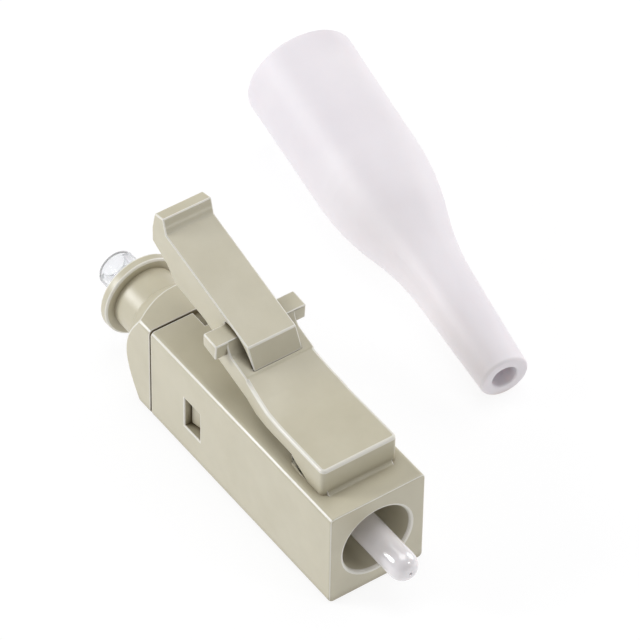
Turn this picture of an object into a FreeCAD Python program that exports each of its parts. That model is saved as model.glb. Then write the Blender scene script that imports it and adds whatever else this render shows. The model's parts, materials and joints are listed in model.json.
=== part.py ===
import FreeCAD, Part
import math
import os

# LC fibre connector for 0.9 mm buffered fibre, with its strain relief boot lying beside it.
# The origin is on the ferrule's axis, in the plane of the plug's front face.
# +X points at the mating partner and +Z is the latch side. All sizes are in millimetres.

V = FreeCAD.Vector
AXIS_X = V(1, 0, 0)
AXIS_Y = V(0, 1, 0)

# plug housing, the square front moulding
plug_width = 4.45
plug_height = 4.64
housing_length = 12.32
long_edge_round = 0.22
front_edge_round = 0.10
front_bore_d = 3.15
front_bore_depth = 3.4
front_bore_chamfer = 0.08
seat_wall = 0.8
seat_hole_d = 1.9
seat_countersink = 0.35
cavity_d = 3.0

# side windows that the rear body's pawls snap into, and the key slot in the roof
window_length = 1.08
window_height = 1.55
window_from_rear = 2.37
window_drop = 0.14
key_slot_width = 0.40
key_slot_length = 0.87

# rear body: sleeve inside the housing, turned-down square block, barrel and boot flange
seam_gap = 0.08
slide_clearance = 0.02
sleeve_d = 3.44
sleeve_length = 3.8
sleeve_end_gap = 0.05
sleeve_bore_d = 2.6
pawl_recess = 0.30
pawl_ramp = 0.16
pawl_gap = 0.08
key_side_gap = 0.05
key_recess = 0.25
block_length = 1.65
block_trim_d = 4.5
barrel_d = 2.9
barrel_end = 3.70
flange_d = 3.71
flange_thickness = 0.45
flange_edge = 0.06
spring_seat_depth = 0.55
tail_clearance = 0.1

# lead-in tube for the buffered fibre
tube_d = 1.68
tube_bore_d = 1.0
tube_seat_depth = 2.35
tube_reach = 1.65

# ferrule and its metal holder
ferrule_d = 1.25
ferrule_length = 6.6
ferrule_reach = 2.2
ferrule_tip_length = 0.42
ferrule_tip_face_d = 0.6
ferrule_rear_chamfer = 0.12
ferrule_groove_d = 0.90
ferrule_groove_width = 0.60
ferrule_groove_cover = 0.10
fibre_bore_d = 0.126
fibre_funnel_d = 0.8
fibre_funnel_length = 0.5
holder_nose_d = 1.7
holder_nose_reach = 0.7
holder_flats = 2.5
holder_flange_thickness = 1.1
holder_tail_d = 1.6
holder_tail_length = 7.3
holder_bore_d = 0.94
seat_play = 0.02

# spring
spring_d = 2.3
spring_wire_d = 0.25
spring_pitch = 0.85
spring_wire_sides = 8

# latch: root block on the housing, then the arm, which turns at its neck
root_front = 1.24
root_length = 2.06
root_half_width = 1.76
root_corner_round = 0.22
root_foot_round = 0.16
arm_rise = 1.31
arm_thickness = 0.73
neck_offset = 0.25
neck_r = 0.50
neck_play = 0.02
arm_flat_length = 1.45
arm_bend_reach = 0.35
arm_slope_length = 1.56
arm_slope = 0.30
arm_sole_slope = 0.29
arm_depth_at_step = 0.98
step_half_width = 1.60
arm_waist = 0.02
ledge_rise = 0.06

# latch: shoulders that catch in the adapter
shoulder_setback = 1.31
shoulder_length = 0.88
shoulder_half_width = 2.12
shoulder_rise = 0.55
shoulder_depth = 0.73
shoulder_rear_depth = 0.60
shoulder_top_slope = 0.06
shoulder_face_lean = 0.05
cheek_reach = 0.27
cheek_curve_reach = 0.07
cheek_curve_rise = 0.17

# latch: thumb bar with its free nose and its raised ridge
bar_half_width = 1.14
bar_length = 7.04
bar_slope = 0.279
nose_setback = 0.13
nose_clearance = 0.03
nose_height = 0.91
nose_lean = 0.46
nose_lip = 0.10
slot_end_round = 0.11
slot_overrun = 0.16
slot_low_reach = 1.24
slot_low_rise = 0.11
slot_middle_reach = 0.62
slot_middle_rise = 0.65
ridge_length = 0.98
ridge_height = 0.71
ridge_lean = 0.20
ridge_crest_drop = 0.13
bar_back_lean = 0.18
bar_back_drop = 0.52
bar_rear_depth = 1.32
bar_corner_length = 0.13
bar_corner_height = 0.08
bar_root_inset = 0.1
bar_root_rise = 0.2
heel_length = 1.59
heel_ramp_length = 0.58
heel_ramp_drop = 0.45
heel_height = 0.61
belly_length = 2.1
belly_drop = 0.32

# boot, lying on the same surface as the housing
boot_length = 17.9
boot_mouth_d = 5.0
boot_shoulder_d = 4.88
boot_shoulder_at = 5.95
boot_neck_d = 2.54
boot_neck_at = 13.4
boot_end_d = 2.16
boot_rim_round = 0.14
boot_hole_d = 1.10
boot_fit = 0.04
boot_socket_depth = 6.4
boot_groove_at = 1.3
boot_throat_at = 10.2
boot_yaw_deg = -7.4
boot_mouth_x = -22.80
boot_mouth_y = 12.33

# places worked out from the sizes above
half_w = plug_width / 2
half_h = plug_height / 2
housing_rear = -housing_length
block_front = housing_rear - seam_gap
block_rear = block_front - block_length
flange_front = block_front - barrel_end
flange_rear = flange_front - flange_thickness
sleeve_front = housing_rear + sleeve_length
seat_rear = -(front_bore_depth + seat_wall)
seat_hole_front = seat_rear + seat_countersink
spring_front = seat_rear - seat_play - holder_flange_thickness
spring_rear = block_front - spring_seat_depth
window_rear_x = housing_rear + window_from_rear
window_front_x = window_rear_x + window_length

arm_top = half_h + arm_rise
arm_sole = arm_top - arm_thickness
root_rear = -(root_front + root_length)
neck_x = root_rear - neck_offset
neck_z = (arm_top + arm_sole) / 2
bend_x = neck_x - arm_flat_length
step_x = bend_x - arm_slope_length
step_z = arm_top + arm_slope * arm_slope_length
ledge_x = step_x - ledge_rise
ledge_z = step_z + ledge_rise
shoulder_x = step_x - shoulder_setback
shoulder_rear_x = shoulder_x - shoulder_length
cheek_z = ledge_z + arm_slope * (ledge_x - shoulder_x)
shoulder_z = cheek_z + shoulder_rise
nose_x = step_x - nose_setback
nose_z = ledge_z + nose_clearance
bar_rear_x = nose_x - bar_length
ridge_x = bar_rear_x + ridge_length


def cylinder_x(diameter, x0, x1):
    return Part.makeCylinder(diameter / 2, abs(x1 - x0), V(min(x0, x1), 0, 0), AXIS_X)


def box(x0, x1, y0, y1, z0, z1):
    return Part.makeBox(x1 - x0, y1 - y0, z1 - z0, V(x0, y0, z0))


def side_face(start, *moves):
    """Closed face in the XZ plane. One point is a line, two are an arc, more are a smooth curve."""
    edges = []
    here = V(start[0], 0, start[1])
    for move in moves + ((start,),):
        points = [V(x, 0, z) for x, z in move]
        if len(points) == 1:
            edges.append(Part.LineSegment(here, points[0]).toShape())
        elif len(points) == 2:
            edges.append(Part.Arc(here, points[0], points[1]).toShape())
        else:
            curve = Part.BSplineCurve()
            curve.interpolate([here] + points)
            edges.append(curve.toShape())
        here = points[-1]
    return Part.Face(Part.Wire(edges))


def turned(start, *moves):
    return side_face(start, *moves).revolve(V(0, 0, 0), AXIS_X, 360)


def cone_x(d0, x0, d1, x1):
    return turned((x0, 0), [(x0, d0 / 2)], [(x1, d1 / 2)], [(x1, 0)])


def across(face, half_width):
    """Extrudes a side face to both sides of the middle plane."""
    moved = face.copy()
    moved.translate(V(0, -half_width, 0))
    return moved.extrude(V(0, 2 * half_width, 0))


def same(a, b):
    return abs(a - b) < 1e-4


def straight_edges(shape, test):
    found = []
    for edge in shape.Edges:
        if len(edge.Vertexes) == 2:
            a = edge.Vertexes[0].Point
            b = edge.Vertexes[1].Point
            if test(a, b):
                found.append(edge)
    return found


def along_x(a, b):
    return same(a.y, b.y) and same(a.z, b.z)


def along_z(a, b):
    return same(a.x, b.x) and same(a.y, b.y)


def square_bar(x0, x1):
    """Length of the plug's square section with its long edges rounded."""
    bar = box(x0, x1, -half_w, half_w, -half_h, half_h)
    return bar.makeFillet(long_edge_round, straight_edges(bar, along_x))


def plug_housing():
    body = square_bar(housing_rear, 0)
    front = [edge for edge in body.Edges if same(edge.BoundBox.XMin, 0) and same(edge.BoundBox.XMax, 0)]
    body = body.makeFillet(front_edge_round, front)
    body = body.fuse(root_block())
    body = body.cut(cylinder_x(front_bore_d, -front_bore_depth, 1))
    body = body.cut(cone_x(front_bore_d, -front_bore_chamfer, front_bore_d + 2 * front_bore_chamfer, 0))
    body = body.cut(cylinder_x(seat_hole_d, seat_rear, 0))
    body = body.cut(cone_x(seat_hole_d + 2 * seat_countersink, seat_rear, seat_hole_d, seat_hole_front))
    body = body.cut(cylinder_x(cavity_d, seat_rear, sleeve_front))
    body = body.cut(cylinder_x(sleeve_d + 2 * slide_clearance, sleeve_front + sleeve_end_gap, housing_rear))
    body = body.cut(box(window_rear_x, window_front_x, -plug_width, plug_width,
                        -window_drop - window_height / 2, -window_drop + window_height / 2))
    return body.cut(box(housing_rear, housing_rear + key_slot_length,
                        -key_slot_width / 2, key_slot_width / 2, 0, plug_height))


def root_block():
    """The stiff foot of the latch, with the hollow that the arm's round neck turns in."""
    low = half_h - long_edge_round
    block = box(root_rear, -root_front, -root_half_width, root_half_width, low, arm_top)
    block = block.makeFillet(root_corner_round, straight_edges(
        block, lambda a, b: along_z(a, b) and same(a.x, -root_front)))
    foot = side_face((-root_front + root_foot_round, half_h),
                     [(-root_front + root_foot_round * (1 - math.sqrt(0.5)),
                       half_h + root_foot_round * (1 - math.sqrt(0.5))),
                      (-root_front, half_h + root_foot_round)],
                     [(-root_front - root_corner_round, half_h + root_foot_round)],
                     [(-root_front - root_corner_round, half_h - root_foot_round)],
                     [(-root_front + root_foot_round, half_h - root_foot_round)])
    block = block.fuse(across(foot, root_half_width - root_corner_round))
    hollow_r = neck_r + neck_play
    hollow = Part.makeCylinder(hollow_r, plug_width, V(neck_x, -half_w, neck_z), AXIS_Y)
    hollow = hollow.common(box(root_rear - neck_r, 0, -half_w, half_w, arm_sole - neck_play, 2 * arm_top))
    return block.cut(hollow)


def rear_body():
    corner_r = math.hypot(half_w, half_h)
    barrel_r = barrel_d / 2
    flange_r = flange_d / 2
    shape = turned((block_front, 0), [(block_front, corner_r)],
                   [(block_rear + corner_r - block_trim_d / 2, corner_r)],
                   [(block_rear + barrel_r - block_trim_d / 2, barrel_r)],
                   [(flange_front, barrel_r)],
                   [(flange_front, flange_r - flange_edge)],
                   [(flange_front - flange_edge, flange_r)],
                   [(flange_rear + flange_edge, flange_r)],
                   [(flange_rear, flange_r - flange_edge)],
                   [(flange_rear, 0)])
    shape = shape.common(square_bar(flange_rear, block_front))
    shape = shape.fuse(cylinder_x(sleeve_d, sleeve_front, block_front))
    shape = shape.fuse([key_rib(), pawl(-1), pawl(1)])

    tube_front = flange_rear + tube_seat_depth
    shape = shape.cut(cylinder_x(sleeve_bore_d, sleeve_front, spring_rear))
    shape = shape.cut(cylinder_x(holder_tail_d + 2 * tail_clearance, spring_rear, tube_front))
    return shape.cut(cylinder_x(tube_d, tube_front, flange_rear))


def key_rib():
    """The rib on the sleeve that keeps the two mouldings lined up."""
    half = key_slot_width / 2 - key_side_gap
    return box(block_front, housing_rear + key_slot_length - key_side_gap, -half, half,
               sleeve_bore_d / 2, half_h - key_recess)


def pawl(side):
    """Snap pawl on the sleeve, steep at the rear and ramped at the front."""
    front = window_front_x - pawl_gap
    rear = window_rear_x + pawl_gap
    crest = half_w - pawl_recess
    inner = sleeve_bore_d / 2
    height = window_height - 2 * pawl_gap
    corners = [V(front, side * inner, 0), V(front, side * (crest - pawl_ramp), 0),
               V(rear, side * crest, 0), V(rear, side * inner, 0)]
    face = Part.Face(Part.makePolygon(corners + [corners[0]]))
    face.translate(V(0, 0, -window_drop - height / 2))
    return face.extrude(V(0, 0, height))


def lead_in_tube():
    front = flange_rear + tube_seat_depth
    rear = flange_rear - tube_reach
    return cylinder_x(tube_d, front, rear).cut(cylinder_x(tube_bore_d, front, rear))


def ferrule():
    """Ground pin with a rounded tip, and the groove that keys it to its holder just behind the bore."""
    r = ferrule_d / 2
    face_r = ferrule_tip_face_d / 2
    rear = ferrule_reach - ferrule_length
    shoulder = ferrule_reach - ferrule_tip_length
    diagonal = math.sqrt(0.5)
    tip_middle = (shoulder + ferrule_tip_length * diagonal, face_r + (r - face_r) * diagonal)
    solid = turned((rear, 0), [(rear, r - ferrule_rear_chamfer)], [(rear + ferrule_rear_chamfer, r)],
                   [(shoulder, r)], [tip_middle, (ferrule_reach, face_r)], [(ferrule_reach, 0)])
    groove_front = -front_bore_depth + ferrule_groove_cover
    groove_rear = groove_front - ferrule_groove_width
    groove = cylinder_x(2 * ferrule_d, groove_rear, groove_front)
    solid = solid.cut(groove.cut(cylinder_x(ferrule_groove_d, groove_rear, groove_front)))
    solid = solid.cut(cylinder_x(fibre_bore_d, rear, ferrule_reach))
    return solid.cut(cone_x(fibre_funnel_d, rear, fibre_bore_d, rear + fibre_funnel_length))


def ferrule_holder():
    """Turned holder: a nose round the ferrule, a cone that centres it, a hexagonal flange and a tail."""
    nose_front = seat_rear + holder_nose_reach
    nose_r = holder_nose_d / 2
    flats_r = holder_flats / 2
    cone_line = seat_hole_front - seat_play + seat_hole_d / 2
    flange_face = seat_rear - seat_play
    body = turned((nose_front, 0), [(nose_front, nose_r)], [(cone_line - nose_r, nose_r)],
                  [(cone_line - flats_r, flats_r)], [(spring_front, flats_r)], [(spring_front, 0)])
    corner_r = flats_r / math.cos(math.pi / 6)
    corners = [V(flange_face, corner_r * math.cos(k * math.pi / 3), corner_r * math.sin(k * math.pi / 3))
               for k in range(6)]
    hexagon = Part.Face(Part.makePolygon(corners + [corners[0]]))
    body = body.fuse(hexagon.extrude(V(-holder_flange_thickness, 0, 0)))
    body = body.fuse(cylinder_x(holder_tail_d, spring_front, spring_front - holder_tail_length))
    body = body.cut(cylinder_x(ferrule_d, nose_front, ferrule_reach - ferrule_length))
    return body.cut(cylinder_x(holder_bore_d, nose_front, spring_front - holder_tail_length))


def spring():
    """Wire coil, its section an eight-sided round, with both ends ground flat against their seats."""
    length = spring_front - spring_rear
    coil_r = (spring_d - spring_wire_d) / 2
    spare = spring_wire_d / 2
    helix = Part.makeHelix(spring_pitch, length + 2 * spare, coil_r)
    turn = 2 * math.pi / spring_wire_sides
    corners = [V(coil_r + spare * math.cos(k * turn), 0, spare * math.sin(k * turn))
               for k in range(spring_wire_sides)]
    section = Part.makePolygon(corners + [corners[0]])
    wire = Part.Wire(helix).makePipeShell([section], True, True)
    wire.translate(V(0, 0, -spare))
    wire.rotate(V(0, 0, 0), AXIS_Y, 90)
    wire.translate(V(spring_rear, 0, 0))
    return wire.common(cylinder_x(2 * spring_d, spring_rear, spring_front))


def latch_arm():
    arm = across(arm_face(), root_half_width).common(arm_plan())
    neck = Part.makeCylinder(neck_r, 2 * root_half_width, V(neck_x, -root_half_width, neck_z), AXIS_Y)
    neck = neck.common(box(neck_x, neck_x + neck_r, -half_w, half_w, arm_sole, arm_top))
    return arm.fuse([neck, shoulders(), thumb_bar()]).removeSplitter()


def arm_sole_z(x):
    return step_z - arm_depth_at_step + arm_sole_slope * (step_x - x)


def arm_face():
    """The arm from its neck to behind the shoulders: flat, then rising, with a ledge across it."""
    sole_bend_x = step_x + (step_z - arm_depth_at_step - arm_sole) / arm_sole_slope
    return side_face(
        (neck_x, arm_top),
        [(bend_x + arm_bend_reach, arm_top)],
        [(bend_x, arm_top + arm_slope * arm_bend_reach / 4),
         (bend_x - arm_bend_reach, arm_top + arm_slope * arm_bend_reach)],
        [(step_x, step_z)], [(ledge_x, ledge_z)],
        [(shoulder_x + cheek_reach, cheek_z - arm_slope * cheek_reach)],
        [(shoulder_x + cheek_curve_reach, cheek_z + cheek_curve_rise), (shoulder_x, shoulder_z)],
        [(shoulder_rear_x, shoulder_z)],
        [(shoulder_rear_x, arm_sole_z(shoulder_rear_x))],
        [(sole_bend_x, arm_sole)], [(neck_x, arm_sole)])


def arm_plan():
    """The arm seen from above, narrower from the bend to the step."""
    half = [(neck_x + neck_r, root_half_width), (bend_x, root_half_width - arm_waist),
            (step_x, step_half_width), (shoulder_rear_x, step_half_width)]
    corners = [V(x, y, 0) for x, y in half] + [V(x, -y, 0) for x, y in reversed(half)]
    return Part.Face(Part.makePolygon(corners + [corners[0]])).extrude(V(0, 0, 3 * plug_height))


def shoulders():
    """The pair of stops that catch behind the adapter's window edges."""
    rear_z = shoulder_z + shoulder_top_slope
    face = side_face((shoulder_x, shoulder_z), [(shoulder_rear_x, rear_z)],
                     [(shoulder_rear_x, rear_z - shoulder_rear_depth)],
                     [(shoulder_x - shoulder_face_lean, shoulder_z - shoulder_depth)])
    return across(face, shoulder_half_width)


def bar_top_z(x):
    return nose_z + nose_height + bar_slope * (nose_x - nose_lean - x)


def thumb_bar():
    """The thick rear bar. Its nose hangs free over the arm, with a curved slot under it."""
    slot_top = shoulder_z + 2 * slot_end_round
    slot_end = shoulder_rear_x + slot_overrun
    rear_z = bar_top_z(bar_rear_x)
    rear_low_z = rear_z - bar_rear_depth
    heel_x = bar_rear_x + heel_length
    heel_z = rear_low_z - heel_ramp_drop
    belly_z = heel_z - heel_height
    root_x = shoulder_rear_x + bar_root_inset
    root_low_z = arm_sole_z(shoulder_rear_x)
    face = side_face(
        (nose_x, nose_z),
        [(nose_x - nose_lean, nose_z + nose_height)],
        [(ridge_x, bar_top_z(ridge_x))],
        [(ridge_x - ridge_lean, bar_top_z(ridge_x) + ridge_height)],
        [(bar_rear_x + bar_back_lean, bar_top_z(ridge_x) + ridge_height - ridge_crest_drop)],
        [(bar_rear_x, rear_z - bar_back_drop)],
        [(bar_rear_x, rear_low_z + bar_corner_height)],
        [(bar_rear_x + bar_corner_length, rear_low_z)],
        [(heel_x - heel_ramp_length, heel_z)],
        [(heel_x, belly_z)],
        [(heel_x + belly_length, belly_z - belly_drop)],
        [(shoulder_rear_x, root_low_z)],
        [(root_x, root_low_z + bar_root_rise)],
        [(root_x, shoulder_z)],
        [(slot_end, shoulder_z)],
        [(slot_end - slot_end_round, shoulder_z + slot_end_round), (slot_end, slot_top)],
        [(nose_x - slot_low_reach, shoulder_z + slot_low_rise),
         (nose_x - slot_middle_reach, nose_z + slot_middle_rise), (nose_x - nose_lip, nose_z)])
    return across(face, bar_half_width)


def boot():
    """Turned about X with its mouth at the origin, then laid down on its shoulder and its narrow end."""
    shoulder_r = boot_shoulder_d / 2
    neck_end_r = boot_neck_d / 2
    end_r = boot_end_d / 2
    mouth_r = boot_mouth_d / 2
    hole_r = boot_hole_d / 2
    socket_r = barrel_d / 2 + boot_fit
    groove_r = flange_d / 2 + boot_fit
    groove_end = boot_groove_at + flange_thickness + 2 * boot_fit
    rounded = boot_rim_round * (1 - math.sqrt(0.5))
    half_taper = (boot_neck_at - boot_shoulder_at) / 2
    drop = shoulder_r - neck_end_r
    shoulder = (boot_shoulder_at, shoulder_r)
    shoulder_arc = [(boot_shoulder_at + half_taper / 2, shoulder_r - drop / 8),
                    (boot_shoulder_at + half_taper, shoulder_r - drop / 2)]
    solid = turned(
        (0, socket_r), [(0, mouth_r - boot_rim_round)],
        [(rounded, mouth_r - rounded), (boot_rim_round, mouth_r)],
        [shoulder], shoulder_arc,
        [(boot_neck_at - half_taper / 2, neck_end_r + drop / 8), (boot_neck_at, neck_end_r)],
        [(boot_length - boot_rim_round, end_r)],
        [(boot_length - rounded, end_r - rounded), (boot_length, end_r - boot_rim_round)],
        [(boot_length, hole_r)], [(boot_throat_at, hole_r)], [(boot_socket_depth, socket_r)],
        [(groove_end + boot_fit, socket_r)], [(groove_end, groove_r)],
        [(boot_groove_at, groove_r)], [(boot_groove_at - boot_fit, socket_r)])

    # the surface touches the boot at the end's rim and somewhere along the arc behind the shoulder
    curve = Part.Arc(*[V(x, 0, r) for x, r in [shoulder] + shoulder_arc]).toShape().discretize(60)
    rim_x = boot_length - boot_rim_round
    tilt = max(math.atan2(point.z - end_r, rim_x - point.x) for point in curve)
    mouth_z = max(point.z * math.cos(tilt) + point.x * math.sin(tilt) for point in curve) - half_h
    solid.rotate(V(0, 0, 0), AXIS_Y, math.degrees(tilt))
    solid.rotate(V(0, 0, 0), V(0, 0, 1), boot_yaw_deg)
    solid.translate(V(boot_mouth_x, boot_mouth_y, mouth_z))
    return solid


pieces = {
    "plug_housing": plug_housing, "latch_arm": latch_arm, "rear_body": rear_body,
    "lead_in_tube": lead_in_tube, "ferrule": ferrule, "ferrule_holder": ferrule_holder,
    "spring": spring, "boot": boot,
}

os.makedirs("parts", exist_ok=True)
for name, make in pieces.items():
    shape = make()
    print(name, "solids", len(shape.Solids), "valid", shape.isValid(), "volume", round(shape.Volume, 3))
    shape.exportStep("parts/" + name + ".step")
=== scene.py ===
import json
import math

import bmesh
import bpy
from mathutils import Matrix, Vector
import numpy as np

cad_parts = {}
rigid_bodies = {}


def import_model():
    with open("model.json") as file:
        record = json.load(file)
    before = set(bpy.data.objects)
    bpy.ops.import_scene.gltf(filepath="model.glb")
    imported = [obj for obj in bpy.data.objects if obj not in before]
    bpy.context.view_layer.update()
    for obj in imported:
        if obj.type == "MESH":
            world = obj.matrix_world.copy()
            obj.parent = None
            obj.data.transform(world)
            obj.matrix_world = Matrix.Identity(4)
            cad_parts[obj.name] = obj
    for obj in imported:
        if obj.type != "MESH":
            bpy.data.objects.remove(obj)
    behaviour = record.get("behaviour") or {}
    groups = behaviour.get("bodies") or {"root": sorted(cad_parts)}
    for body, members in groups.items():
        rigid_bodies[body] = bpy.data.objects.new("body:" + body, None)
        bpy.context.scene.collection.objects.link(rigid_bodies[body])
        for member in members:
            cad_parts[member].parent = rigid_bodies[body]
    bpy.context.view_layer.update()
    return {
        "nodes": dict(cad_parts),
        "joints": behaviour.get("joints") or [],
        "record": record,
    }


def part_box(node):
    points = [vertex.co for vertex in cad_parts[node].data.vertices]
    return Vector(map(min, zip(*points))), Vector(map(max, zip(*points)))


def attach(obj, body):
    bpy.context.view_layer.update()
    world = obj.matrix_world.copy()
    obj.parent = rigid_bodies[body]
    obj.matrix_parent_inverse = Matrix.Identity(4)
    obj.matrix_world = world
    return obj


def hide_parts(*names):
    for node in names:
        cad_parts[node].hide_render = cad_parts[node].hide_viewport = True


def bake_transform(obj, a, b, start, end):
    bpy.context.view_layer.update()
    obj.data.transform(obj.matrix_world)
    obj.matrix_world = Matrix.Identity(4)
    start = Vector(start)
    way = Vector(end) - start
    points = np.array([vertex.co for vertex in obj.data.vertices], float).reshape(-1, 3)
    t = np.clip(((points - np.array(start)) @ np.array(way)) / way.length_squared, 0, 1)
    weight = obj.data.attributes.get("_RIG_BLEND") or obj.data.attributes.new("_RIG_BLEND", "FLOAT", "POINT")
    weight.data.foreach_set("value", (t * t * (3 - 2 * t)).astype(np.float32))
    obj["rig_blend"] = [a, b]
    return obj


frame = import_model()
mm = 0.001  # pieces are shaped in millimetres and brought to metres when they are finished
print("frame loaded:", ", ".join(sorted(frame["nodes"])))


# housing and latch are one moulding, so the latch bends where it leaves its root
plug = {
    "edge": 0.06, "edgeSteps": 3, "topEdge": 0.13, "topEdgeSteps": 5,
    "rootCut": -2.2, "footClear": 0.02, "bendStart": -3.05, "bendEnd": -4.3, "near": 0.01,
    "neckBehind": 0.25, "webBehind": 0.1, "webFront": -1.7, "webFoot": 0.2,
    "topRoundRear": -6.6, "topRoundFront": -1.5, "topRoundInside": 1.2,
    "archBend": -5.0, "archReach": 1.1, "archSlope": 0.30, "archSteps": 14,
    "archDip": 0.05, "archLift": 0.12, "archDepth": 1.0, "archMerge": 0.06,
}
rear = {"edge": 0.04, "edgeSteps": 3}


def boxOf(node):
    low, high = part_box(node)
    return low / mm, high / mm


def mountNamed(name):
    return next(m for m in frame["record"]["mounts"] if m["name"] == name)


def mountLine(name):
    mount = mountNamed(name)
    return Vector(mount["pos_m"]) / mm, Vector(mount["axis"]).normalized()


def objectFrom(bm, name):
    mesh = bpy.data.meshes.new(name)
    bm.to_mesh(mesh)
    bm.free()
    obj = bpy.data.objects.new(name, mesh)
    bpy.context.scene.collection.objects.link(obj)
    return obj


# applies every modifier
def bake(obj):
    graph = bpy.context.evaluated_depsgraph_get()
    graph.update()
    mesh = bpy.data.meshes.new_from_object(obj.evaluated_get(graph))
    obj.modifiers.clear()
    obj.data = mesh
    return obj


def boolean(obj, other, operation):
    cut = obj.modifiers.new(operation, "BOOLEAN")
    cut.operation = operation
    cut.solver = "EXACT"
    cut.object = other
    bake(obj)
    bpy.data.objects.remove(other)
    return obj


# a CAD node's mesh in millimetres, with its shared corners merged
def mergedMesh(node):
    bm = bmesh.new()
    bm.from_mesh(frame["nodes"][node].data)
    bmesh.ops.scale(bm, vec=(1 / mm,) * 3, verts=bm.verts)
    bmesh.ops.remove_doubles(bm, verts=bm.verts, dist=1e-4)
    return bm


def solidCopy(node, name):
    return objectFrom(mergedMesh(node), name)


# a closed outline of (x, z) points, carried across to both sides of the middle plane
def prism(name, outline, halfWidth):
    bm = bmesh.new()
    near = [bm.verts.new((x, -halfWidth, z)) for x, z in outline]
    bm.faces.new(near)
    grown = bmesh.ops.extrude_face_region(bm, geom=bm.faces[:])
    far = [v for v in grown["geom"] if isinstance(v, bmesh.types.BMVert)]
    bmesh.ops.translate(bm, verts=far, vec=(0, 2 * halfWidth, 0))
    bmesh.ops.recalc_face_normals(bm, faces=bm.faces)
    return objectFrom(bm, name)


# merges close corners, drops slivers, and makes each flat side one face
def wholeFaces(obj, merge=2e-3, sliver=1e-3, flatBelow=0.4):
    bm = bmesh.new()
    bm.from_mesh(obj.data)
    bmesh.ops.remove_doubles(bm, verts=bm.verts, dist=merge)
    bmesh.ops.dissolve_degenerate(bm, edges=bm.edges, dist=sliver)
    bmesh.ops.dissolve_limit(bm, angle_limit=math.radians(flatBelow), verts=bm.verts, edges=bm.edges)
    bm.to_mesh(obj.data)
    bm.free()


# rounds the sharp outer edges that a test picks, and marks the new narrow faces as rims that get a painted
# highlight
def roundEdges(obj, width, segments, wanted=lambda a, b: True, sharperThan=33):
    bm = bmesh.new()
    bm.from_mesh(obj.data)
    rim = bm.faces.layers.float.get("rim") or bm.faces.layers.float.new("rim")
    sharp = [e for e in bm.edges if len(e.link_faces) == 2 and e.is_convex and
             e.calc_face_angle(0) > math.radians(sharperThan)]
    picked = [e for e in sharp if wanted(e.verts[0].co, e.verts[1].co)]
    made = bmesh.ops.bevel(bm, geom=picked, offset=width, offset_type="OFFSET", segments=segments,
                           profile=0.5, affect="EDGES", clamp_overlap=False, miter_outer="SHARP")
    for face in made["faces"]:
        face[rim] = 1.0
    bm.to_mesh(obj.data)
    bm.free()
    return len(picked)


# marks a moulding's own rounded long and front edges as rims with a painted highlight too, from its half
# width and its top
def markHighlightRims(obj, half, top, reach=0.24, slant=0.5):
    bm = bmesh.new()
    bm.from_mesh(obj.data)
    rim = bm.faces.layers.float["rim"]
    for face in bm.faces:
        middle = face.calc_center_median()
        outside = (middle.x > -reach, abs(middle.y) > half - reach, abs(middle.z) > top - reach)
        slanted = (face.normal.x > slant, abs(face.normal.y) > slant, abs(face.normal.z) > slant)
        if sum(o and n for o, n in zip(outside, slanted)) >= 2:
            face[rim] = 1.0
    bm.to_mesh(obj.data)
    bm.free()


# brings a piece to metres and shades it smooth up to its sharp edges
def finishShape(obj, smoothBelow=32):
    obj.data.transform(Matrix.Scale(mm, 4))
    obj.data.polygons.foreach_set("use_smooth", [True] * len(obj.data.polygons))
    obj.data.set_sharp_from_angle(angle=math.radians(smoothBelow))
    even = obj.modifiers.new("evenNormals", "WEIGHTED_NORMAL")
    even.keep_sharp = True
    bake(obj)


# the closed outline of a turned CAD node, as (distance along its axis, radius), cut along its axis
def turnedOutline(node, origin, axis, straightBelow=0.6):
    bm = mergedMesh(node)
    side = axis.orthogonal().normalized()
    whole = bm.verts[:] + bm.edges[:] + bm.faces[:]
    cut = bmesh.ops.bisect_plane(bm, geom=whole, dist=1e-6, plane_co=origin, plane_no=axis.cross(side))
    beside = {}
    for edge in (item for item in cut["geom_cut"] if isinstance(item, bmesh.types.BMEdge)):
        ends = [Vector(((v.co - origin).dot(axis), (v.co - origin).dot(side))) for v in edge.verts]
        a, b = (tuple(round(k, 3) for k in end) for end in ends)
        if min(a[1], b[1]) > 0 and a != b:
            beside.setdefault(a, set()).add(b)
            beside.setdefault(b, set()).add(a)
    bm.free()
    start = max(beside)
    outline = [start]
    here = min(beside[start])
    while here != start and len(outline) <= len(beside):
        outline.append(here)
        here = next((p for p in sorted(beside[here]) if p != outline[-2]), start)
    nexts = outline[1:] + outline[:1]
    return [p for k, p in enumerate(outline) if bend(outline[k - 1], p, nexts[k]) > straightBelow]


def bend(before, here, after):
    return math.degrees((Vector(here) - Vector(before)).angle(Vector(after) - Vector(here), 0.0))


# rounds the corners of a closed outline: each picked corner becomes a short arc
def roundedOutline(outline, radius, steps=4, sharperThan=30, share=0.45):
    points = []
    for index, here in enumerate(outline):
        before = Vector(outline[index - 1]) - Vector(here)
        after = Vector(outline[(index + 1) % len(outline)]) - Vector(here)
        turn = 180 - math.degrees(before.angle(after))
        reach = min(radius, share * before.length, share * after.length)
        if turn < sharperThan:
            points.append(tuple(here))
            continue
        a = Vector(here) + before.normalized() * reach
        b = Vector(here) + after.normalized() * reach
        for k in range(steps + 1):
            t = k / steps
            points.append(tuple((1 - t) ** 2 * a + 2 * t * (1 - t) * Vector(here) + t ** 2 * b))
    return points


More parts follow.
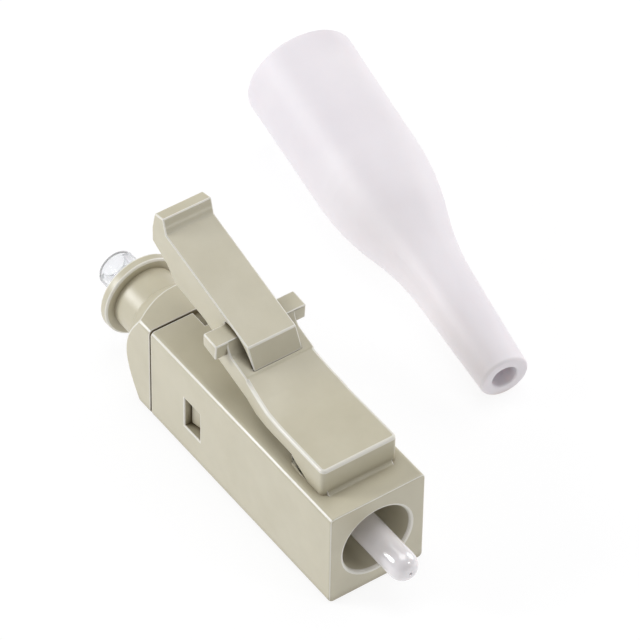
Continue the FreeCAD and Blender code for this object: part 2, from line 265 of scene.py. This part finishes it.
# a closed ring of faces for each step of the outline, turned about the axis
def turnedPiece(name, outline, origin, axis, around):
    side = axis.orthogonal().normalized()
    other = axis.cross(side)
    bm = bmesh.new()
    rings = []
    for along, radius in outline:
        middle = origin + axis * along
        rings.append([bm.verts.new(middle + radius * (math.cos(a) * side + math.sin(a) * other))
                      for a in (2 * math.pi * k / around for k in range(around))])
    for first, second in zip(rings, rings[1:] + rings[:1]):
        for k in range(around):
            bm.faces.new((first[k], first[k - 1], second[k - 1], second[k]))
    bmesh.ops.recalc_face_normals(bm, faces=bm.faces)
    return objectFrom(bm, name)


def newFinish(name):
    material = bpy.data.materials.new(name)
    material.use_nodes = True
    nodes = material.node_tree.nodes
    links = material.node_tree.links
    nodes.clear()
    surface = nodes.new("ShaderNodeBsdfPrincipled")
    out = nodes.new("ShaderNodeOutputMaterial")
    links.new(surface.outputs["BSDF"], out.inputs["Surface"])
    return material, nodes, links, surface


# where a point lies on its piece, so that a pattern moves with the piece
def place(nodes):
    return nodes.new("ShaderNodeTexCoord").outputs["Object"]


def noise(nodes, links, where, scale, detail=3.0, roughness=0.5):
    grain = nodes.new("ShaderNodeTexNoise")
    grain.inputs["Scale"].default_value = scale
    grain.inputs["Detail"].default_value = detail
    grain.inputs["Roughness"].default_value = roughness
    links.new(where, grain.inputs["Vector"])
    return grain.outputs["Fac"]


def ramp(nodes, links, value, stops):
    steps = nodes.new("ShaderNodeValToRGB")
    colours = steps.color_ramp.elements
    while len(colours) < len(stops):
        colours.new(0.5)
    for element, (position, colour) in zip(colours, stops):
        element.position = position
        element.color = (*colour, 1)
    links.new(value, steps.inputs["Fac"])
    return steps.outputs["Color"]


# blends two colours or colour sockets by a share between 0 and 1
def mix(nodes, links, share, first, second):
    both = nodes.new("ShaderNodeMix")
    both.data_type = "RGBA"
    links.new(share, both.inputs["Factor"])
    for socket, value in ((both.inputs["A"], first), (both.inputs["B"], second)):
        if isinstance(value, bpy.types.NodeSocket):
            links.new(value, socket)
        else:
            socket.default_value = (*value, 1)
    return both.outputs["Result"]


# stacks bumps: each is a height, its strength and its depth in millimetres
def bump(nodes, links, surface, heights):
    under = None
    for height, strength, depth in heights:
        relief = nodes.new("ShaderNodeBump")
        relief.inputs["Strength"].default_value = strength
        relief.inputs["Distance"].default_value = depth * mm
        links.new(height, relief.inputs["Height"])
        if under:
            links.new(under, relief.inputs["Normal"])
        under = relief.outputs["Normal"]
    links.new(under, surface.inputs["Normal"])


# 1 in the open, falling to 0 in corners and slots; the finishes use it to paint shade there
def openness(nodes, reach):
    hidden = nodes.new("ShaderNodeAmbientOcclusion")
    hidden.samples = 6
    hidden.inputs["Distance"].default_value = reach * mm
    return hidden.outputs["AO"]


# edge is a painted highlight colour for rounded rims; corner is a painted shade colour for corners and slots
beige = {
    "light": (0.560, 0.522, 0.400), "dark": (0.520, 0.482, 0.362), "edge": (0.78, 0.76, 0.70),
    "corner": (0.150, 0.105, 0.040), "paintedShadeReach": 0.7, "highlightShare": 0.85, "cloud": 420, "grain": 5200,
    "flow": 700, "glossy": 0.30, "satin": 0.40, "specular": 0.75, "depth": 0.25, "glow": 0.06,
    "bleed": (0.9, 0.7, 0.45),
}


# some light goes in, spreads and comes out again
def letLightIn(surface, finish):
    surface.inputs["Subsurface Weight"].default_value = finish["glow"]
    surface.inputs["Subsurface Radius"].default_value = finish["bleed"]
    surface.inputs["Subsurface Scale"].default_value = finish["depth"] * mm


def beigeMoulding():
    material, nodes, links, surface = newFinish("beigeMoulding")
    where = place(nodes)
    cloud = noise(nodes, links, where, beige["cloud"], 4, 0.6)
    skin = ramp(nodes, links, cloud, [(0.35, beige["dark"]), (0.65, beige["light"])])
    # painted highlight: rim faces are mixed towards the light edge colour
    paintedHighlight = nodes.new("ShaderNodeAttribute")
    paintedHighlight.attribute_name = "rim"
    rim = ramp(nodes, links, paintedHighlight.outputs["Fac"], [(0.0, (0,) * 3), (1.0, (beige["highlightShare"],) * 3)])
    skin = mix(nodes, links, rim, skin, beige["edge"])
    # painted shade: the skin darkens towards the corner colour in corners and slots
    corner = openness(nodes, beige["paintedShadeReach"])
    clear = ramp(nodes, links, corner, [(0.18, (0,) * 3), (0.78, (1,) * 3)])
    links.new(mix(nodes, links, clear, beige["corner"], skin), surface.inputs["Base Color"])
    flow = noise(nodes, links, where, beige["flow"], 2)
    gloss = ramp(nodes, links, flow, [(0.3, (beige["glossy"],) * 3), (0.7, (beige["satin"],) * 3)])
    links.new(gloss, surface.inputs["Roughness"])
    surface.inputs["Specular IOR Level"].default_value = beige["specular"]
    letLightIn(surface, beige)
    grain = noise(nodes, links, where, beige["grain"], 2)
    bump(nodes, links, surface, [(flow, 0.25, 0.02), (grain, 0.25, 0.004)])
    return material


# corner is a painted shade colour for the boot's corners and creases
rubber = {
    "light": (0.82, 0.785, 0.82), "dark": (0.775, 0.735, 0.775), "corner": (0.42, 0.32, 0.26),
    "paintedShadeReach": 0.7, "cloud": 260, "grain": 6000, "wave": 500, "roughness": 0.5,
    "depth": 0.6, "glow": 0.22, "bleed": (1.0, 0.85, 0.8),
}


def bootRubber():
    material, nodes, links, surface = newFinish("bootRubber")
    where = place(nodes)
    cloud = noise(nodes, links, where, rubber["cloud"], 4, 0.55)
    skin = ramp(nodes, links, cloud, [(0.3, rubber["dark"]), (0.7, rubber["light"])])
    # painted shade: the skin darkens towards the corner colour in corners
    clear = ramp(nodes, links, openness(nodes, rubber["paintedShadeReach"]), [(0.1, (0,) * 3), (0.7, (1,) * 3)])
    links.new(mix(nodes, links, clear, rubber["corner"], skin), surface.inputs["Base Color"])
    surface.inputs["Roughness"].default_value = rubber["roughness"]
    letLightIn(surface, rubber)
    grain = noise(nodes, links, where, rubber["grain"], 2)
    wave = noise(nodes, links, where, rubber["wave"], 2)
    bump(nodes, links, surface, [(wave, 0.2, 0.02), (grain, 0.3, 0.004)])
    return material


ceramic = {
    "light": (0.86, 0.83, 0.85), "dark": (0.80, 0.77, 0.785), "cloud": 900, "polish": 9000,
    "roughness": 0.16, "index": 2.1, "depth": 0.3, "glow": 0.35, "bleed": (1.0, 0.9, 0.85),
}


def zirconia():
    material, nodes, links, surface = newFinish("zirconia")
    where = place(nodes)
    cloud = noise(nodes, links, where, ceramic["cloud"], 3)
    skin = ramp(nodes, links, cloud, [(0.3, ceramic["dark"]), (0.7, ceramic["light"])])
    links.new(skin, surface.inputs["Base Color"])
    surface.inputs["Roughness"].default_value = ceramic["roughness"]
    surface.inputs["IOR"].default_value = ceramic["index"]
    letLightIn(surface, ceramic)
    bump(nodes, links, surface, [(noise(nodes, links, where, ceramic["polish"], 2), 0.15, 0.001)])
    return material


steel = {"colour": (0.62, 0.61, 0.58), "roughness": 0.3}
wire = {"colour": (0.5, 0.5, 0.5), "roughness": 0.25}
tooling = {"stretch": (14, 1, 1), "rings": 1500, "shade": 0.8}


# metal with the fine rings that turning or drawing leaves
def turnedMetal(name, metal):
    material, nodes, links, surface = newFinish(name)
    where = place(nodes)
    stretch = nodes.new("ShaderNodeMapping")
    stretch.inputs["Scale"].default_value = tooling["stretch"]
    links.new(where, stretch.inputs["Vector"])
    rings = noise(nodes, links, stretch.outputs["Vector"], tooling["rings"], 3)
    dark = tuple(tooling["shade"] * c for c in metal["colour"])
    skin = ramp(nodes, links, rings, [(0.3, dark), (0.7, metal["colour"])])
    links.new(skin, surface.inputs["Base Color"])
    surface.inputs["Metallic"].default_value = 1.0
    surface.inputs["Roughness"].default_value = metal["roughness"]
    bump(nodes, links, surface, [(rings, 0.3, 0.004)])
    return material


clearTube = {
    "light": (0.98, 0.985, 1.0), "dark": (0.93, 0.94, 0.97), "wave": 600, "roughness": 0.12,
    "index": 1.34, "seeThrough": 0.78,
}


def clearPlastic():
    material, nodes, links, surface = newFinish("clearPlastic")
    where = place(nodes)
    wave = noise(nodes, links, where, clearTube["wave"], 2)
    skin = ramp(nodes, links, wave, [(0.3, clearTube["dark"]), (0.7, clearTube["light"])])
    links.new(skin, surface.inputs["Base Color"])
    surface.inputs["Roughness"].default_value = clearTube["roughness"]
    surface.inputs["IOR"].default_value = clearTube["index"]
    surface.inputs["Transmission Weight"].default_value = clearTube["seeThrough"]
    bump(nodes, links, surface, [(wave, 0.2, 0.02)])
    return material


finishes = {
    "beige": beigeMoulding(), "boot": bootRubber(), "zirconia": zirconia(), "clear": clearPlastic(),
    "steel": turnedMetal("turnedSteel", steel), "wire": turnedMetal("springWire", wire),
}


def wear(obj, finish):
    obj.data.materials.clear()
    obj.data.materials.append(finishes[finish])


view = {"aim": (-7.0996, 2.2339, 4.7934), "azimuth": 54.097, "elevation": 44.787, "roll": 1.02,
        "distance": 193.735, "lens": 281.25}


# the direction to something seen at an azimuth from the -Y side and an elevation
def towards(azimuth, elevation):
    a, e = math.radians(azimuth), math.radians(elevation)
    return Vector((math.sin(a) * math.cos(e), -math.cos(a) * math.cos(e), math.sin(e)))


def addCamera():
    back = towards(view["azimuth"], view["elevation"])
    level = Vector((math.cos(math.radians(view["azimuth"])), math.sin(math.radians(view["azimuth"])), 0))
    right = Matrix.Rotation(math.radians(view["roll"]), 3, back) @ level
    up = back.cross(right)
    data = bpy.data.cameras.new("camera")
    data.lens = view["lens"]
    data.clip_start = 0.005
    data.clip_end = 10
    camera = bpy.data.objects.new("camera", data)
    turn = Matrix((right, up, back)).transposed().to_4x4()
    spot = Matrix.Translation((Vector(view["aim"]) + back * view["distance"]) * mm)
    camera.matrix_world = spot @ turn
    bpy.context.scene.collection.objects.link(camera)
    bpy.context.scene.camera = camera


# the floor is a softly lit white table, so it hardly shows a shadow
table = {"size": 1500, "paint": (0.16, 0.16, 0.163, 1), "glow": 0.86}


def addFloor():
    bm = bmesh.new()
    bmesh.ops.create_grid(bm, x_segments=1, y_segments=1, size=table["size"])
    bmesh.ops.translate(bm, verts=bm.verts, vec=(0, 0, boxOf("plug_housing")[0].z))
    bmesh.ops.scale(bm, vec=(mm,) * 3, verts=bm.verts)
    floor = objectFrom(bm, "floor")
    material, _, _, surface = newFinish("paleFloor")
    surface.inputs["Base Color"].default_value = table["paint"]
    surface.inputs["Roughness"].default_value = 0.8
    surface.inputs["Specular IOR Level"].default_value = 0.0
    surface.inputs["Emission Color"].default_value = (1.0, 1.0, 1.0, 1)
    surface.inputs["Emission Strength"].default_value = table["glow"]
    floor.data.materials.append(material)


# lamps round the aim point: sizes and distances in millimetres, powers in watts
studio = {
    "left": {"azimuth": -37, "elevation": 25, "distance": 160, "size": 64, "power": 0.138,
             "tint": (0.98, 0.99, 1.0)},
    "right": {"azimuth": 185, "elevation": 25, "distance": 160, "size": 120, "power": 0.10,
              "tint": (1.0, 0.99, 0.98)},
    "top": {"azimuth": 215, "elevation": 78, "distance": 170, "size": 140, "power": 0.092,
            "tint": (1.0, 1.0, 1.0)},
    "glint": {"azimuth": 120, "elevation": 36, "distance": 160, "size": 26, "power": 0.020,
              "tint": (1.0, 1.0, 1.0)},
}
sky = 0.35


def addLights():
    aim = Vector(view["aim"]) * mm
    for name, lamp in studio.items():
        data = bpy.data.lights.new(name, "AREA")
        data.shape = "DISK"
        data.size = lamp["size"] * mm
        data.energy = lamp["power"]
        data.color = lamp["tint"]
        light = bpy.data.objects.new(name, data)
        way = towards(lamp["azimuth"], lamp["elevation"])
        light.location = aim + way * lamp["distance"] * mm
        light.rotation_euler = way.to_track_quat("Z", "Y").to_euler()
        bpy.context.scene.collection.objects.link(light)
    world = bpy.data.worlds.new("world")
    world.use_nodes = True
    background = world.node_tree.nodes["Background"]
    background.inputs["Color"].default_value = (1, 1, 1, 1)
    background.inputs["Strength"].default_value = sky
    bpy.context.scene.world = world
    bpy.context.scene.view_settings.view_transform = "Standard"


addCamera()
addFloor()
addLights()
print("camera, floor and lights placed")


# the arm's rise from level to sloping is spread over a long even curve
def smoothArch(obj, armTop):
    low, high = plug["archBend"] - plug["archReach"], plug["archBend"] + plug["archReach"]
    bm = bmesh.new()
    bm.from_mesh(obj.data)
    cuts = [low + (high - low) * k / plug["archSteps"] for k in range(plug["archSteps"] + 1)]

    def onTop(co):
        sharp = armTop + plug["archSlope"] * max(0.0, plug["archBend"] - co.x)
        level = sharp - plug["archDip"] < co.z < sharp + plug["archLift"]
        return low - 1e-3 < co.x < high + 1e-3 and level

    for x in cuts:
        arm = [f for f in bm.faces if min(v.co.z for v in f.verts) > armTop - plug["archDepth"] and
               min(v.co.x for v in f.verts) < x < max(v.co.x for v in f.verts)]
        around = set(arm) | {e for f in arm for e in f.edges} | {v for f in arm for v in f.verts}
        bmesh.ops.bisect_plane(bm, geom=list(around), dist=1e-5, plane_co=(x, 0, 0), plane_no=(1, 0, 0))
    for vert in bm.verts:
        if onTop(vert.co):
            past = high - vert.co.x
            vert.co.z = armTop + plug["archSlope"] * max(0.0, past) ** 2 / (4 * plug["archReach"])
    bmesh.ops.remove_doubles(bm, verts=[v for v in bm.verts if onTop(v.co)], dist=plug["archMerge"])
    bm.to_mesh(obj.data)
    bm.free()


# keeps one side of an L-shaped cut through the latch's root, and closes it
def splitAtRoot(obj, cutX, cutZ, keepLatch):
    bm = bmesh.new()
    bm.from_mesh(obj.data)
    for spot, way in (((cutX, 0, 0), (1, 0, 0)), ((0, 0, cutZ), (0, 0, 1))):
        bmesh.ops.bisect_plane(bm, geom=bm.verts[:] + bm.edges[:] + bm.faces[:], dist=1e-5,
                               plane_co=spot, plane_no=way)

    def inLatch(face):
        middle = face.calc_center_median()
        return middle.x < cutX and middle.z > cutZ

    bmesh.ops.delete(bm, geom=[f for f in bm.faces if inLatch(f) != keepLatch], context="FACES")
    rim = [e for e in bm.edges if len(e.link_faces) == 1]
    corners = {v for e in rim for v in e.verts if abs(v.co.x - cutX) < 1e-3 and abs(v.co.z - cutZ) < 1e-3}
    corners = sorted(corners, key=lambda v: v.co.y)
    fold = bm.edges.new((corners[0], corners[-1]))
    bmesh.ops.edgenet_fill(bm, edges=rim + [fold])
    bmesh.ops.recalc_face_normals(bm, faces=bm.faces)
    bm.to_mesh(obj.data)
    bm.free()


# joins housing and latch, rounds them as one, and parts them again where the latch bends
def mouldPlug():
    housingLow, housingHigh = boxOf("plug_housing")
    armLow, armHigh = boxOf("latch_arm")
    roof = -housingLow.z
    hinge = next(j for j in frame["joints"] if j["name"] == "latch_press")
    neckX, neckZ = hinge["pos_m"][0] / mm, hinge["pos_m"][2] / mm
    sole = armLow.z
    armTop = housingHigh.z
    rootRear = neckX + plug["neckBehind"]
    housing = solidCopy("plug_housing", "plugHousing")
    arm = solidCopy("latch_arm", "latch")
    halfRoot = max(v.co.y for v in arm.data.vertices if v.co.x > neckX)
    webRear, webFront, webFoot = neckX - plug["webBehind"], plug["webFront"], roof + plug["webFoot"]
    web = prism("web", [(webRear, armTop), (webFront, armTop), (webFront, webFoot), (rootRear, webFoot),
                        (rootRear, sole), (webRear, sole)], halfRoot)
    boolean(arm, web, "UNION")
    halfBend = max(v.co.y for v in arm.data.vertices if abs(v.co.x - plug["archBend"]) < 0.05)
    boolean(housing, arm, "UNION")
    # the sides run straight from the root's width to the arm's
    for vert in housing.data.vertices:
        share = (vert.co.x - plug["bendStart"]) / (plug["archBend"] - plug["bendStart"])
        outer = vert.co.z > sole - plug["near"] and abs(vert.co.y) > halfBend - plug["near"]
        if 0 < share < 1 and outer:
            vert.co.y = math.copysign(halfRoot + (halfBend - halfRoot) * share, vert.co.y)
    wholeFaces(housing)
    smoothArch(housing, armTop)

    def onArmTop(a, b):
        rearEnd = min(a.x, b.x)
        level = min(a.z, b.z) > armTop - plug["near"]
        outside = min(abs(a.y), abs(b.y)) > plug["topRoundInside"]
        longEdge = max(a.x, b.x) < 0 and outside and rearEnd > plug["topRoundRear"]
        frontEdge = abs(a.x - b.x) < 1e-3 and rearEnd > plug["topRoundFront"]
        return level and (longEdge or frontEdge)

    rounded = roundEdges(housing, plug["topEdge"], plug["topEdgeSteps"], onArmTop)
    roundEdges(housing, plug["edge"], plug["edgeSteps"])
    markHighlightRims(housing, housingHigh.y, roof)
    latch = housing.copy()
    latch.data = housing.data.copy()
    latch.name = "latch"
    bpy.context.scene.collection.objects.link(latch)
    above = roof + plug["footClear"]
    splitAtRoot(latch, plug["rootCut"], above, True)
    splitAtRoot(housing, plug["rootCut"], above, False)
    for piece in (housing, latch):
        finishShape(piece)
        wear(piece, "beige")
    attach(housing, "connector")
    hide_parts("plug_housing")
    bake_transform(latch, "connector", "latch", start=(plug["bendStart"] * mm, 0, neckZ * mm),
             end=(plug["bendEnd"] * mm, 0, neckZ * mm))
    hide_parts("latch_arm")
    counts = [len(piece.data.polygons) for piece in (housing, latch)]
    print("plug moulding:", counts[0], "and", counts[1], "faces,", rounded, "top edges")


mouldPlug()


def makeRearBody():
    body = solidCopy("rear_body", "rearBody")
    wholeFaces(body)
    roundEdges(body, rear["edge"], rear["edgeSteps"])
    high = boxOf("rear_body")[1]
    markHighlightRims(body, high.y, high.z)
    finishShape(body)
    wear(body, "beige")
    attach(body, "connector")
    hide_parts("rear_body")
    print("rear body:", len(body.data.polygons), "faces")


makeRearBody()


# the ferrule's end is polished to a dome, wider at its shoulder than the CAD's short round
dome = {"length": 0.60, "face": 0.12, "steps": 12}


# walks the outline from the bore's mouth, and puts the dome in place of the short round
def domedOutline(outline, tipX, radius):
    mouth = min((p for p in outline if p[0] > tipX - plug["near"]), key=lambda p: p[1])
    start = outline.index(mouth)
    outline = outline[start:] + outline[:start]
    if outline[1][1] <= mouth[1] + 1e-3:
        outline = outline[:1] + outline[:0:-1]
    rest = [p for p in outline[1:] if p[0] < tipX - dome["length"] or p[1] < dome["face"]]
    turns = [math.pi / 2 * (1 - k / dome["steps"]) for k in range(dome["steps"] + 1)]
    curve = [(tipX - dome["length"] * (1 - math.sin(t)), dome["face"] + (radius - dome["face"]) * math.cos(t))
             for t in turns]
    return [mouth] + curve + rest


# each piece turns about its mount's line, or about the ferrule's
turnedWork = {
    "ferrulePin": {"node": "ferrule", "body": "ferrule_unit", "finish": "zirconia",
                   "slot": "zirconia", "around": 72, "round": 0.02, "domed": True},
    "leadInTube": {"node": "lead_in_tube", "body": "connector", "finish": "clear",
                   "slot": "clear_plastic", "around": 64, "round": 0.10},
    "bootSleeve": {"node": "boot", "body": "connector", "finish": "boot", "slot": "boot_elastomer",
                   "around": 96, "round": 0.12, "mount": "boot_socket"},
}


def turnPieces():
    radius = mountNamed("ferrule")["dims"]["r_mm"]
    for name, work in turnedWork.items():
        own = "mount" in work
        origin, axis = mountLine(work["mount"]) if own else (Vector((0, 0, 0)), Vector((1, 0, 0)))
        outline = turnedOutline(work["node"], origin, axis)
        if "domed" in work:
            outline = domedOutline(outline, boxOf(work["node"])[1].x, radius)
        outline = roundedOutline(outline, work["round"])
        piece = turnedPiece(name, outline, origin, axis, work["around"])
        finishShape(piece)
        wear(piece, work["finish"])
        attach(piece, work["body"])
        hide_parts(work["node"])
        print(name, "turned from", len(outline), "points")


turnPieces()

for node, finish in (("ferrule_holder", "steel"), ("spring", "wire")):
    for entry in frame["nodes"][node].material_slots:
        entry.material = finishes[finish]
print("holder and spring finished")
